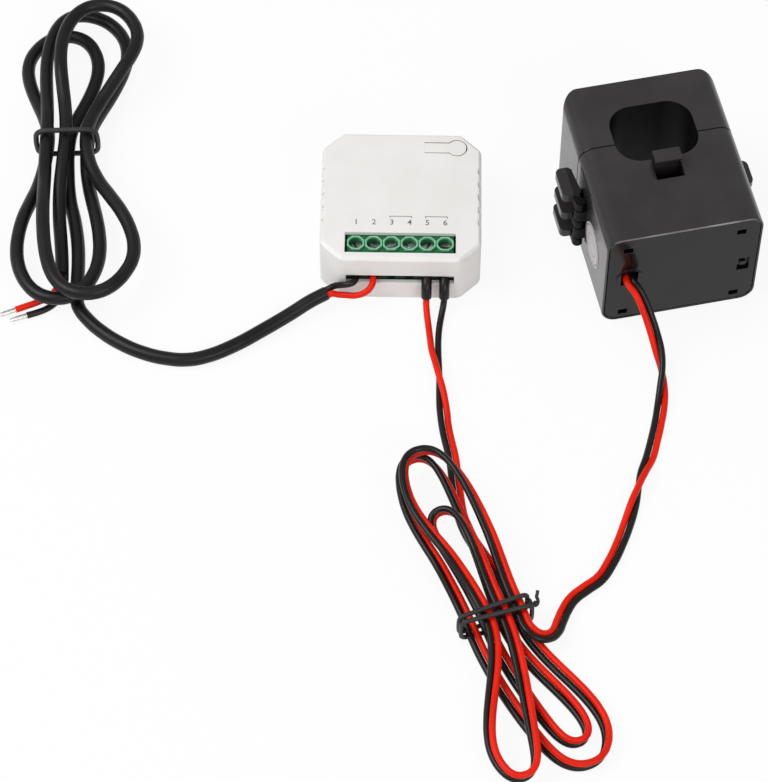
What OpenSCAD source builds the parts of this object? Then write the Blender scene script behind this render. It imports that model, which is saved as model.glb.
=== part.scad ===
// Smart energy monitor: a flat module with six screw terminals, a split clamp that
// measures current, and two cables that lie folded into tied hanks.
// Millimetres, +Z up. The origin is the middle of the module's base.

/* [Module housing] */
// outside width and depth of the square housing
body_w = 46; // [45:0.5:60]
// height of the housing
body_h = 18; // [17.5:0.25:24]
// length cut off each corner of the square
corner_cut = 6; // [4:0.5:7]
// radius where the cut corners meet the sides
corner_r = 3.5; // [1:0.25:4]
// thickness of the side walls
wall = 1.3; // [1:0.05:1.6]
// thickness of the top
top_t = 1.4; // [1.2:0.05:1.6]
// bevel round the top
edge_cut = 0.8; // [0.4:0.1:1]
// thickness of the base plate
base_t = 1.6; // [1.2:0.1:2]
// gap round pieces that fit inside one another
fit = 0.15; // [0.1:0.01:0.2]
// vent notches on each side
vents = 5; // [3:1:6]
// distance from one vent to the next
vent_pitch = 4.66; // [4:0.1:5]
// length of one vent
vent_l = 1.8; // [1.2:0.1:2.4]

/* [Pairing button] */
// middle of the round pad, across
pad_x = 15.9; // [14.5:0.1:16]
// middle of the round pad, towards the back
pad_y = 17.8; // [16.8:0.1:18]
// radius of the pad
pad_r = 2.7; // [2.2:0.1:2.8]
// length of the tongue from its root to the middle of the pad
tongue_l = 9.4; // [7:0.1:11]
// width of the tongue
tongue_w = 3.4; // [2.6:0.1:4]
// slit round the tongue and the pad
slit = 0.35; // [0.3:0.05:0.4]
// side of the square switch under the pad
switch_w = 4.5; // [4:0.1:4.8]
// height of the switch body
switch_h = 2.8; // [2.2:0.1:3.2]
// radius of the switch plunger
plunger_r = 1; // [0.8:0.05:1.2]
// part of the plunger that stands out of the switch
plunger_out = 0.8; // [0.6:0.05:1]

/* [Terminals] */
// distance from one terminal to the next
pitch = 5.08; // [5:0.01:5.1]
// depth of the terminal block from front to back
block_d = 10; // [9.6:0.1:11]
// distance of the screws from the block's front
screw_back = 5.1; // [5:0.05:5.3]
// bore of the screw wells
well_d = 4; // [3.9:0.05:4.1]
// width of a rim across its flats
rim_w = 4.9; // [4.7:0.05:4.95]
// height of the wires above the circuit board
wire_h = 4; // [3.9:0.05:4.2]
// radius of the round wire entries
entry_r = 1.6; // [1.55:0.01:1.65]
// radius of the terminal screws
screw_r = 1.2; // [1.1:0.05:1.25]
// diameter of the screw heads
head_d = 3.7; // [3.4:0.05:3.75]
// clearance round a turning or sliding shaft
run_fit = 0.05; // [0.03:0.01:0.08]
// width of a rising clamp cage
cage_w = 3.8; // [3.7:0.05:3.9]
// height of a clamp cage
cage_h = 5.9; // [5.8:0.05:6]
// travel of a clamp cage
cage_travel = 1.8; // [1.5:0.05:1.9]

/* [Clamp] */
// width of the clamp
clamp_w = 45; // [44.5:0.25:50]
// length of the clamp
clamp_l = 56; // [55:0.5:62]
// height of the clamp along its opening
clamp_h = 37; // [34:0.5:40]
// radius of the long edges
clamp_r = 4.5; // [3:0.25:6]
// wall of the clamp's case
clamp_wall = 1.5; // [1.3:0.05:1.7]
// distance of the split from the front end
split_y = 33.5; // [33:0.1:34]
// gap between the case and the jaw
split_gap = 0.3; // [0.2:0.05:0.4]
// width of the opening for the conductor
window_w = 24; // [22:0.25:24.5]
// length of the opening for the conductor
window_l = 19.8; // [18:0.2:20.4]
// where the opening starts from the front end
window_y = 26.5; // [26.2:0.1:27]
// radius of the opening's corners
window_r = 7; // [4:0.25:9]
// thickness of the core's legs
leg_w = 4.6; // [4:0.1:4.8]
// height of the core
core_h = 25; // [22:0.5:26]
// radius of the hinge pin
hinge_r = 0.9; // [0.7:0.05:1]
// radius of the latch pin
latch_r = 0.7; // [0.6:0.05:0.8]
// thickness of a grip rib
rib_t = 3; // [2.4:0.1:3.2]
// distance from one grip rib to the next
rib_pitch = 8; // [7.6:0.1:8.4]
// how far the ribs stand out of the sides
rib_out = 6.2; // [5.8:0.1:6.6]
// length of the latch's grip ribs
rib_l = 10.2; // [10:0.1:11]
// how far the hinge's ribs stand out of the case
hinge_out = 4.5; // [4.4:0.1:5]
// rim of the case round the end cap
cap_lip = 0.7; // [0.6:0.05:0.9]
// thickness of the end cap
cap_t = 2; // [1.6:0.1:2.4]
// width of the hook above the opening
hook_w = 8; // [6:0.5:9]

/* [Cables] */
// diameter of the supply cable
cable_d = 4; // [3.8:0.05:4]
// diameter of one insulated wire
wire_d = 1.9; // [1.7:0.05:1.9]
// diameter of the sleeves on the clamp's wires
sleeve_d = 3; // [2.7:0.05:3.05]
// diameter of a bare wire end
pin_d = 1.4; // [1.2:0.05:1.45]
// thickness of the band round the supply cable's hank
band_t = 1.6; // [1.2:0.1:1.6]
// thickness of the wire tie round the clamp lead's hank
tie_t = 1.3; // [1:0.1:1.3]

/* [Hidden] */
$fn = 48;
half = body_w / 2;
board_t = 1.2;
board_z = base_t + 1.8;
board_top = board_z + board_t;
inner = wall + fit;
block_front = -(half - wall - 0.2);
screw_y = block_front + screw_back;
block_top = body_h - top_t - 0.3;
rim_top = body_h - 0.8;
ways = 6;
block_w = ways * pitch;
wire_z = board_top + wire_h;
slot_h = sleeve_d + 0.3;
cage_d = 4.6;
cage_bar = 0.6;
cage_side = 0.5;
cage_gap = 0.2;
cage_floor = wire_z - pin_d / 2 - 0.25 - cage_bar;
contact_z = wire_z + pin_d / 2 + 0.35;
contact_t = 0.55;
screw_tip = contact_z + contact_t + 0.25;
seat_z = cage_floor + cage_h + 0.95;
head_h = 1.2;
pin_y = block_front + 1.5;
used = [true, true, false, false, true, true];
slot_turn = [20, 70, 110, 40, 150, 85];
root_x = pad_x - tongue_l;
switch_x = pad_x - 1.3;
switch_y = pad_y - 0.8;
plunger_top = board_top + switch_h + plunger_out;
peg_r = 0.7;
post_x = half - 6.5;
posts = [[-post_x, half - 12], [post_x, half - 12.5], [-post_x, -6], [post_x, -6]];

clamp_at = [79.5, -25.7, 0];
clamp_turn = 13;
ear_z = clamp_h / 2;
rib_z = [ear_z - rib_pitch, ear_z, ear_z + rib_pitch];
gap_z = [ear_z - rib_pitch / 2, ear_z + rib_pitch / 2];
knuckle_h = rib_pitch - rib_t - 0.6;
hinge_x = clamp_w / 2 + hinge_out - 2;
hinge_y = split_y - 4.2;
pin_top = rib_z[2] + rib_t / 2 - 0.8;
hinge_rib = 2.6;
hinge_pitch = 5.6;
hinge_z = [for (i = [-1:1]) ear_z - 2 + i * hinge_pitch];
hinge_top = hinge_z[2] + hinge_rib / 2 - 0.8;
hinge_knuckle = hinge_pitch - hinge_rib - 0.6;
latch_x = -clamp_w / 2 - 1.9;
latch_y = split_y - 10.7;
leg_x = window_w / 2 + 2;
core_z = (clamp_h - core_h) / 2;
seat = 0.2;
yoke_y = 13.8;
yoke_t = 6;
top_yoke_y = window_y + window_l + 2;
cap_y = 0.3;
cap_post = 2.7;
rib_gap = 1.5;
hook_x = 0.5 - hook_w / 2;
hook_gap = 2.9;
tongue_t = 1;
tongue_x = -leg_x - leg_w - seat - 0.3 - tongue_t;
nose_x = tongue_x - 0.35;
exit_at = [-15.3, 18.8];
exit_size = [4.8, 5.2];
bobbin_l = window_w + 1;

// helpers: outlines

function terminal_x(i) = (i - (ways + 1) / 2) * pitch;

module rounded_box(w, d, r) {
    square([w - 2 * r, d], center = true);
    square([w, d - 2 * r], center = true);
    for (x = [-1, 1]) for (y = [-1, 1]) {
        translate([x * (w / 2 - r), y * (d / 2 - r)]) circle(r);
    }
}

// the square with cut corners, drawn in by a distance on every side
module housing_outline(inset) {
    a = half - inset;
    c = corner_cut - 0.586 * inset;
    r = max(0.4, corner_r - inset);
    t = r * tan(22.5);
    polygon([for (q = [0:3]) each [for (p = [[a, -a + c + t], [a, a - c - t],
        [a - t * 0.7071, a - c + t * 0.7071], [a - c + t * 0.7071, a - t * 0.7071]])
        [p.x * cos(90 * q) - p.y * sin(90 * q), p.x * sin(90 * q) + p.y * cos(90 * q)]]]);
    for (q = [0:3]) rotate(90 * q) {
        translate([a - r, a - c - t]) circle(r);
        translate([a - c - t, a - r]) circle(r);
    }
}

module keyhole(gap) {
    translate([pad_x, pad_y]) circle(pad_r + gap);
    translate([root_x, pad_y - tongue_w / 2 - gap]) square([tongue_l, tongue_w + 2 * gap]);
}

module bar(size, at) {
    translate(at) cube(size);
}

// helpers: tubes along a route

function ease(a, b, t) = let (k = min(1, max(0, (t - a) / (b - a)))) k * k * (3 - 2 * k);
function unit(v) = v / norm(v);
function along(p, i) = let (n = len(p) - 1)
    i == 0 ? unit(p[1] - p[0]) :
    i == n ? unit(p[n] - p[n - 1]) :
    unit(unit(p[i] - p[i - 1]) + unit(p[i + 1] - p[i]));
function across(t) = unit([-t.y, t.x, 0]);
function ring(p, t, r, sides) = let (n = across(t), b = cross(t, n))
    [for (k = [0:sides - 1]) let (a = 360 * (k + 0.5) / sides)
        p + r * (cos(a) * n + sin(a) * b)];

module tube(p, d, sides) {
    n = len(p);
    pts = [for (i = [0:n - 1]) each ring(p[i], along(p, i), d / 2, sides)];
    skin = [for (i = [0:n - 2]) for (k = [0:sides - 1]) let (
        a = i * sides + k, b = i * sides + (k + 1) % sides, c = a + sides, e = b + sides)
        each [[a, b, e], [a, e, c]]];
    ends = [for (k = [1:sides - 2]) each [[0, k + 1, k],
        [(n - 1) * sides, (n - 1) * sides + k, (n - 1) * sides + k + 1]]];
    polyhedron(points = pts, faces = concat(skin, ends), convexity = 10);
}

// least room between a tube and its own other turns, measured on its points
function least_gap(p, d, near) = min([for (i = [0:len(p) - 1])
    for (j = [i + near:1:len(p) - 1]) norm(p[i] - p[j])]) - d;

// the two wires of a flat pair: each point is moved sideways, turned by its angle
function pair_wire(p, turn, side) = [for (i = [0:len(p) - 1])
    let (t = along(p, i), n = across(t), b = cross(t, n))
    p[i] + side * (wire_d / 2 + 0.05) * (cos(turn[i]) * n + sin(turn[i]) * b)];

// supply cable: hank, run and cores

mains_at = [-98.8, 27.7, 0];
mains_layer = cable_d + 0.6;
mains_strands = 6;
mains_turn = 450;
mains_waist = 11.8;
// middle, half width and reach of each loop, first those at the back, then those in front
mains_back = [[-3.2, 12.7, 44.3], [3.8, 14.2, 50.6], [7.4, 13.4, 49]];
mains_front = [[1.2, 13.9, 57.5], [9.8, 15.1, 59]];

// loops start in the middle, spiral out, climb a layer at the back and spiral in again
function mains_loop(a) = let (
    r = (mains_turn - abs(mains_turn - a)) / 360,
    s = sin(a), c = cos(a), up = s > 0,
    turn = floor(a / 360),
    loop = up ? mains_back[turn] : mains_front[min(1, turn)],
    waist = 1.7 + (mains_waist - 0.7) / 2 * r,
    y = loop[2] * s,
    k = ease(-90, 60, a - mains_turn),
    spread = ease(1, 0.84 * loop[2], abs(y)),
    bow = 1 - pow(1 - abs(c), 0.9 * sqrt(loop[2] / loop[1])),
    x = sign(c) * (waist + (loop[1] - waist) * spread) * bow - 1.4 * (1 - 2 * k) * c * c
        + loop[0] * spread,
    climb = mains_layer * ease(-25, 30, a - mains_turn),
    lift = mains_layer * (up ? (turn == 2 ? ease(6, 26, y) : 0) : ease(8, 32, -y)))
    [x, y, cable_d / 2 + climb + lift];

mains_in = [[6.3, -51.5, 2], [6.2, -49, 2], [6, -42, 2], [5.4, -35, 2],
    [4, -27, 2], [1.8, -18, 2], [0.7, -9, 2]];
mains_out = [[-0.5, -9, 6.6], [-0.8, -18, 6.2], [-0.4, -27, 4.2], [0.3, -33, 2.6],
    [0.9, -38, 2], [1.3, -42, 2], [1.6, -46, 2]];
function band_lift(y, t) = t * (1 - ease(4, 20, abs(y)));
mains_path = [for (p = concat(mains_in,
    [for (a = [0:15:180 * (mains_strands - 1)]) mains_loop(a)], mains_out))
    mains_at + [p.x, p.y, p.z + band_lift(p.y, band_t + 0.1)]];
echo(mains_hank_gap = least_gap(mains_path, cable_d, 4));

mains_route = [[-92.5, -23.8, 2], [-92.4, -26.3, 2], [-91.5, -29.8, 2], [-88.9, -33.6, 2],
    [-84.7, -37.8, 2], [-78.8, -42, 2], [-71.9, -45.3, 2], [-65.3, -47, 2], [-59.7, -47.3, 2],
    [-54.2, -46, 2], [-46.4, -42, 2], [-38.5, -36.6, 2.2], [-31, -31.5, 3], [-25.5, -27.9, 4.2],
    [-21, -25.5, 5]];
mains_end = mains_route[len(mains_route) - 1];
mains_end_side = across(along(mains_route, len(mains_route) - 1));
mains_end_along = along(mains_route, len(mains_route) - 1);
core_side = wire_d / 2 + 0.03;
// a core starts on the cable's end and runs straight out of it first
function core_start(end, side, dir) = [end + core_side * side, end + core_side * side + 1.2 * dir];

red_core_route = concat(core_start(mains_end, -mains_end_side, mains_end_along),
    [[-17.6, -25.7, 4.7], [-15.2, -26, 4.9], [-12.6, -26.6, 5.6], [-9.6, -26.3, 7], [-8, -24.9, 8.2]],
    [for (y = [-23.2, -21.6]) [terminal_x(2), y, wire_z]], [[terminal_x(2), pin_y, wire_z]]);
black_core_route = concat(core_start(mains_end, mains_end_side, mains_end_along),
    [[-18.7, -23.8, 6.2], [-17, -24.4, 7.5], [-15.2, -25, 8.6], [-13.5, -24.7, 9]],
    [for (y = [-23.2, -21.6]) [terminal_x(1), y, wire_z]], [[terminal_x(1), pin_y, wire_z]]);

tail_last = len(mains_path) - 1;
tail_along = along(mains_path, tail_last);
tail_side = across(tail_along);
tail_red_route = concat(core_start(mains_path[tail_last], -tail_side, tail_along),
    [[-98.4, -21.6, 1.4], [-99.4, -23.8, 1], [-101.3, -25.8, 1], [-104, -27.4, 1],
    [-106.8, -28.7, 1], [-109.7, -30, 1]]);
tail_black_route = concat(core_start(mains_path[tail_last], tail_side, tail_along),
    [[-96.3, -22.2, 1.4], [-97.2, -25.2, 1], [-98.8, -27.7, 1], [-101, -29.6, 1],
    [-103.5, -30.9, 1], [-106.3, -32, 1]]);

// clamp lead: runs and hank of the flat pair

lead_at = [26.9, -131.9, 0];
lead_turn = 20;
lead_layer = 4.5;
lead_strands = 7;
lead_reverse = 630;
// middle, half width and reach of each loop, first those at the back, then those in front
lead_back = [[-4.2, 7, 54], [-4.2, 5.6, 34], [-3, 8.8, 53]];
lead_front = [[8.6, 10.6, 48], [8.5, 5.4, 41], [-9.6, 6.4, 48]];

// loops spiral in, climb a layer in a short fold at the back and spiral out again
function lead_loop(a) = let (
    r = abs(lead_reverse - a) / 360,
    s = -sin(a), c = cos(a), up = s > 0,
    turn = min(2, floor(a / 360)),
    loop = up ? lead_back[turn] : lead_front[turn],
    waist = 4.45 * r,
    k = ease(-90, 90, a - lead_reverse),
    y = loop[2] * s,
    spread = ease(1, 42, abs(y)),
    bow = 1 - pow(1 - abs(c), 0.9 * sqrt(loop[2] / loop[1])),
    x = sign(c) * (waist + (loop[1] - waist) * spread) * bow - 1.1 * (1 - 2 * k) * c * c
        + loop[0] * spread,
    climb = lead_layer * ease(-60, 60, a - lead_reverse),
    lift = up ? lead_layer * ease(4, 24, y) : 0)
    [x, y, wire_d + 0.1 + climb + lift];

lead_in = [[9.4, 66, 1], [8.6, 62, 1], [7.4, 54, 1], [5, 44, 1], [3, 32, 1.2],
    [4.6, 20, 1.6], [6.8, 10, 2]];
lead_out = [[6.6, -4, 6.5]];
function lead_place(p) = lead_at + [p.x * cos(lead_turn) - p.y * sin(lead_turn),
    p.x * sin(lead_turn) + p.y * cos(lead_turn), p.z];
lead_angles = [for (a = [0:15:180 * (lead_strands - 1)]) a];
lead_path = [for (p = concat(lead_in, [for (a = lead_angles) lead_loop(a)], lead_out))
    lead_place([p.x, p.y, p.z + band_lift(p.y, tie_t - wire_d / 2)])];
lead_twist = concat([for (p = lead_in) 0], lead_angles, [for (p = lead_out) 0]);
lead_red_path = pair_wire(lead_path, lead_twist, 1);
lead_black_path = pair_wire(lead_path, lead_twist, -1);
echo(lead_red_gap = least_gap(lead_red_path, wire_d, 4));
echo(lead_black_gap = least_gap(lead_black_path, wire_d, 4));

sleeve_drop = [[-22.4, 0], [-24.2, -0.7], [-25.5, -2.2], [-26.2, -4]];
function sleeve_route(i) = concat([[terminal_x(i), pin_y, wire_z]],
    [for (s = sleeve_drop) [terminal_x(i), s[0], wire_z + s[1]]]);
sleeve_end = [0, -26.2, wire_z - 4];

lead_red_route = concat([[terminal_x(5), 0, 0] + sleeve_end],
    [[7.6, -27, 3], [7.8, -29.6, 1.9], [8.3, -33.5, 1.2], [8.8, -38, 1.2], [9.3, -42.6, 2],
    [10.3, -47.2, 2.7], [11.4, -52, 3], [12.6, -56.8, 2.8], [13.5, -61.4, 1.7], [13.95, -64.4, 1]],
    [lead_red_path[0]]);
lead_black_route = concat([[terminal_x(6), 0, 0] + sleeve_end],
    [[12.6, -27, 3], [12.1, -29.6, 1.6], [11.5, -33.5, 1], [11.2, -38, 1], [11.2, -42.6, 1],
    [11.4, -47.2, 1], [11.6, -52, 1], [11.6, -56.8, 1], [11.7, -61.4, 1], [11.95, -64.4, 1]],
    [lead_black_path[0]]);

lead_last = len(lead_path) - 1;
lead_end_route = concat([lead_path[lead_last], lead_path[lead_last] + 1.2 * along(lead_path, lead_last)],
    [[36.2, -136.6, 6.8], [38.7, -137.9, 5.8], [41.4, -137.1, 4.4], [43.3, -134.7, 3.1],
    [44.5, -131.2, 2.2], [45.8, -127.6, 1.6], [48, -123.6, 1.2], [51.6, -120.2, 1],
    [55.4, -117, 1], [58.4, -112, 1], [61, -106, 1], [63.4, -99, 1], [65.2, -93, 1.7],
    [66.6, -88, 2], [68, -83, 1.7], [70, -77.5, 1], [71.5, -71.5, 1], [72.8, -65.5, 1],
    [73.7, -60, 1.2], [74.2, -54.5, 2], [74.1, -49.5, 3.6], [73.2, -45, 6], [71.8, -41, 9],
    [70.2, -37.6, 12.2], [68.4, -34.6, 15.4], [66.6, -32.4, 17.8]],
    [for (y = [-1.4, 1]) clamp_point(exit_at[0], y, exit_at[1])]);
lead_end_twist = [for (i = [0:len(lead_end_route) - 1]) 45 * min(4, max(0, i - 13))
    + 45 * min(4, max(0, i - 20))];
function clamp_point(x, y, z) = clamp_at + [x * cos(clamp_turn) - y * sin(clamp_turn),
    x * sin(clamp_turn) + y * cos(clamp_turn), z];

// module: shell

module top_cover() {
    color("#e8e5e2") difference() {
        linear_extrude(body_h) housing_outline(0);
        translate([0, 0, -1]) linear_extrude(body_h - top_t + 1) housing_outline(wall);
        for (a = [0:45:315]) rotate(a) {
            translate([a % 90 == 0 ? half : (2 * half - corner_cut) * 0.7071, 0, body_h])
                rotate([0, 45, 0]) cube([edge_cut * 1.4142, body_w, edge_cut * 1.4142], center = true);
        }
        bar([block_w + 1, 7, top_t + 2], [-(block_w + 1) / 2, screw_y - 3.9, body_h - top_t - 1]);
        bar([block_w + 0.4, wall + 2, slot_h],
            [-(block_w + 0.4) / 2, -half - 1, wire_z - slot_h / 2]);
        translate([0, 0, body_h - top_t - 1]) linear_extrude(top_t + 2) keyhole(slit);
        for (side = [0, 1]) for (i = [0:vents - 1]) mirror([side, 0, 0]) {
            bar([1.4, vent_l, 1.5],
                [half - 0.9, (i - (vents - 1) / 2) * vent_pitch - vent_l / 2, body_h - 1.2]);
        }
        for (side = [0, 1]) mirror([side, 0, 0]) {
            bar([0.6, 6.6, 1.4], [half - wall - 0.1, -3.3, base_t + 2.3]);
        }
    }
}

module base_cover() {
    color("#dedbd7") {
        linear_extrude(base_t) housing_outline(inner);
        for (p = posts) translate(p) {
            cylinder(r = 2, h = board_z);
            cylinder(r = peg_r, h = board_top);
        }
        for (side = [0, 1]) mirror([side, 0, 0]) {
            bar([1, 6, base_t + 3.4], [half - inner - 1, -3, 0]);
            bar([0.5, 6, 0.8], [half - inner, -3, base_t + 2.6]);
        }
    }
}

// module: circuit board and what is on it

module main_pcb() {
    color("#1f6b3f") translate([0, 0, board_z]) difference() {
        linear_extrude(board_t) housing_outline(wall + 1.7);
        for (p = posts) translate([p.x, p.y, -1]) cylinder(r = peg_r + run_fit, h = board_t + 2);
        for (i = [1:ways]) {
            bar([2.3, 1.1, board_t + 2], [terminal_x(i) - 1.15, screw_y + 2.85, -1]);
        }
    }
}

module wireless_module() {
    color("#174a66") bar([14, 12, 0.8], [-18, 7.5, board_top]);
    color("#c9a84c") for (i = [0:6]) {
        bar([1, 0.4, 0.8], [-17.1 + 1.9 * i, 7.1, board_top]);
    }
}

module rf_shield() {
    color("#b9bcc0") difference() {
        bar([11, 8, 2.2], [-17, 8.5, board_top + 0.8]);
        bar([10.4, 7.4, 1.9], [-16.7, 8.8, board_top + 0.8]);
    }
}

module metering_chip() {
    color("#2a2a2c") bar([5, 4, 1.4], [-2.5, -6, board_top + 0.15]);
    color("#c9cbce") for (i = [0:3]) for (y = [-6.8, -2]) {
        bar([0.45, 0.8, 0.5], [-2.13 + 1.27 * i, y, board_top]);
    }
}

module power_transformer() {
    color("#d9b23a") bar([9, 8, 9], [-15, -9.5, board_top + 0.6]);
    color("#3a3230") for (x = [-15, -7.2]) {
        bar([1.2, 8, 0.6], [x, -9.5, board_top]);
    }
}

module electrolytic_capacitor() {
    color("#23344f") translate([13, 3.5, board_top]) rotate_extrude() difference() {
        square([3.15, 10]);
        translate([3.4, 8.6]) circle(0.5);
    }
}

module varistor() {
    color("#2f6fb0") translate([5, 4.5, board_top + 5]) rotate([90, 0, 0])
        cylinder(r = 3.6, h = 3.2, center = true);
    color("#c9cbce") for (x = [3.2, 6.8]) {
        translate([x, 4.5, board_top]) cylinder(r = 0.3, h = 2.2);
    }
}

module fuse_resistor() {
    color("#b58a5c") translate([-2, 5.5, board_top + 2]) rotate([90, 0, 0])
        cylinder(r = 1.3, h = 7, center = true);
    color("#c9cbce") for (y = [1.4, 9.6]) {
        translate([-2, y, board_top]) cylinder(r = 0.3, h = 2.3);
        translate([-2, y < 5 ? y : y - 0.6, board_top + 2]) rotate([-90, 0, 0]) cylinder(r = 0.3, h = 0.6);
    }
}

module x_capacitor() {
    color("#c8b23c") bar([11, 5, 9], [-2.4, 12, board_top]);
}

module tact_switch() {
    color("#3a3a3d") difference() {
        bar([switch_w, switch_w, switch_h],
            [switch_x - switch_w / 2, switch_y - switch_w / 2, board_top]);
        translate([switch_x, switch_y, board_top + 1]) cylinder(r = plunger_r + run_fit, h = switch_h);
    }
}

module switch_plunger() {
    color("#e9e6df") translate([switch_x, switch_y, board_top + 1.5])
        cylinder(r = plunger_r, h = plunger_top - board_top - 1.5);
}

module pairing_button() {
    color("#e8e5e2") {
        translate([0, 0, body_h - top_t]) linear_extrude(top_t) keyhole(0);
        translate([switch_x, switch_y, plunger_top + 0.05])
            cylinder(r = 0.8, h = body_h - top_t - plunger_top - 0.05);
    }
}

// module: terminal block, screws and cages

module terminal_block() {
    color("#2f8a57") difference() {
        union() {
            bar([block_w, block_d, block_top - board_top], [-block_w / 2, block_front, board_top]);
            for (i = [1:ways]) translate([terminal_x(i), screw_y, block_top - 1]) rotate(22.5)
                cylinder(d = rim_w / cos(22.5), h = rim_top - block_top + 1, $fn = 8);
        }
        translate([0, block_front, block_top]) rotate([-28, 0, 0])
            bar([block_w + 2, 4, 3], [-block_w / 2 - 1, -2.2, -0.6]);
        for (i = [1:ways]) translate([terminal_x(i), screw_y, 0]) {
            translate([0, 0, seat_z]) cylinder(d = well_d, h = body_h);
            cylinder(r = screw_r + run_fit, h = body_h);
            bar([cage_w + 2 * cage_gap, cage_d + 2 * cage_gap, cage_h + cage_travel + 0.6],
                [-cage_w / 2 - cage_gap, -cage_d / 2 - cage_gap, cage_floor - cage_travel - 0.25]);
            bar([2.5, 1.6, contact_z + contact_t + 0.2 - board_top + 1],
                [-1.25, cage_d / 2, board_top - 1]);
            translate([0, block_front - screw_y - 1, wire_z]) rotate([-90, 0, 0])
                cylinder(r = entry_r, h = screw_back - cage_d / 2 + 1);
        }
    }
}

module terminal_contacts() {
    color("#c98d4b") for (i = [1:ways]) translate([terminal_x(i), screw_y, 0]) {
        bar([2, cage_d + 1.3, contact_t], [-1, -cage_d / 2 + 0.1, contact_z]);
        bar([2, 0.8, contact_z - board_z + 1], [-1, cage_d / 2 + 0.6, board_z - 1]);
    }
}

module terminal_screw(i) {
    color("#c4c6c9") translate([terminal_x(i), screw_y, 0]) difference() {
        union() {
            translate([0, 0, screw_tip]) cylinder(r = screw_r, h = seat_z + 0.5 - screw_tip);
            translate([0, 0, seat_z + 0.1]) cylinder(d = head_d, h = head_h);
        }
        rotate(slot_turn[i - 1]) bar([0.7, head_d + 1, 1], [-0.35, -head_d / 2 - 0.5, seat_z + head_h - 0.7]);
    }
}

module clamp_cage(i) {
    z = cage_floor - (used[i - 1] ? 0 : cage_travel);
    color("#b6b8bb") translate([terminal_x(i), screw_y, z]) difference() {
        bar([cage_w, cage_d, cage_h], [-cage_w / 2, -cage_d / 2, 0]);
        bar([cage_w - 2 * cage_side, cage_d + 2, cage_h - 2 * cage_bar],
            [-cage_w / 2 + cage_side, -cage_d / 2 - 1, cage_bar]);
        translate([0, 0, cage_h - cage_bar - 1]) cylinder(r = screw_r + run_fit, h = 3);
    }
}

module terminal_screw_1() { terminal_screw(1); }
module terminal_screw_2() { terminal_screw(2); }
module terminal_screw_3() { terminal_screw(3); }
module terminal_screw_4() { terminal_screw(4); }
module terminal_screw_5() { terminal_screw(5); }
module terminal_screw_6() { terminal_screw(6); }
module clamp_cage_1() { clamp_cage(1); }
module clamp_cage_2() { clamp_cage(2); }
module clamp_cage_3() { clamp_cage(3); }
module clamp_cage_4() { clamp_cage(4); }
module clamp_cage_5() { clamp_cage(5); }
module clamp_cage_6() { clamp_cage(6); }

module wire_pins() {
    color("#c9c6c0") for (i = [1:ways]) if (used[i - 1]) {
        translate([terminal_x(i), pin_y, wire_z]) rotate([-90, 0, 0]) cylinder(d = pin_d, h = 5.4);
    }
}

// clamp: placed on the floor beside the module

module on_clamp() {
    translate(clamp_at) rotate([0, 0, clamp_turn]) children();
}

// a stretch of the rounded body along its length
module clamp_bar(y0, y1, inset) {
    translate([0, y1, clamp_h / 2]) rotate([90, 0, 0]) linear_extrude(y1 - y0)
        rounded_box(clamp_w - 2 * inset, clamp_h - 2 * inset, clamp_r - inset);
}

module conductor_window() {
    translate([0, window_y + window_l / 2, -5]) linear_extrude(clamp_h + 10)
        rounded_box(window_w, window_l, window_r);
}

module leg_slots(y0, y1) {
    for (side = [0, 1]) mirror([side, 0, 0]) {
        bar([leg_w + 2 * seat, y1 - y0, core_h + 2 * seat], [leg_x - seat, y0, core_z - seat]);
    }
}

// one rib of the latch, with the arm that turns on the pin
module rib_outline() {
    translate([-clamp_w / 2 - (rib_out + rib_gap) / 2, split_y - rib_l / 2 + 2.1])
        rounded_box(rib_out - rib_gap, rib_l, 1.6);
    translate([latch_x, latch_y]) circle(1.5);
    translate([latch_x - 1.5, latch_y]) square([2, 4]);
    translate([-clamp_w / 2, split_y]) polygon([[-2.6, 1], [-2.6, 1.9 - rib_l], [-1.2, 2.2 - rib_l],
        [-0.65, 3.2 - rib_l], [-rib_gap, 0.6]]);
}

module clamp_case() {
    color("#3f3c3d") on_clamp() difference() {
        union() {
            clamp_bar(0, split_y, 0);
            for (z = hinge_z) translate([0, 0, z - hinge_rib / 2]) linear_extrude(hinge_rib) {
                translate([clamp_w / 2 + hinge_out / 2 - 0.5, split_y - 6.7])
                    rounded_box(hinge_out + 1, 8.8, 2);
            }
            for (z = gap_z) translate([0, 0, z - knuckle_h / 2]) {
                translate([latch_x, latch_y, 0]) cylinder(r = 1.5, h = knuckle_h);
                bar([2.4, 3, knuckle_h], [latch_x, latch_y - 1.5, 0]);
            }
            bar([hook_w, 1, hook_gap + 1.1], [hook_x, window_y - 1, clamp_h - 0.2]);
            bar([hook_w, 4.4, 0.9], [hook_x, window_y - 4.4, clamp_h + hook_gap]);
        }
        clamp_bar(-1, cap_y + cap_t, cap_lip);
        clamp_bar(-1, window_y - 2, clamp_wall);
        leg_slots(window_y - 3, split_y + 1);
        conductor_window();
        bar([hook_w, 6.5, 2.4], [hook_x, window_y - 7.5, clamp_h - 1.6]);
        bar([2.4, 7, 14.6], [tongue_x - 0.9, split_y - 5.9, ear_z - 7.3]);
        bar([4, 3.2, 7.8], [tongue_x - 3.9, split_y - 4.2, ear_z - 3.9]);
        translate([hinge_x, hinge_y, 0]) cylinder(r = hinge_r, h = hinge_top);
        translate([latch_x, latch_y, 0]) cylinder(r = latch_r, h = clamp_h);
    }
}

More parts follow.
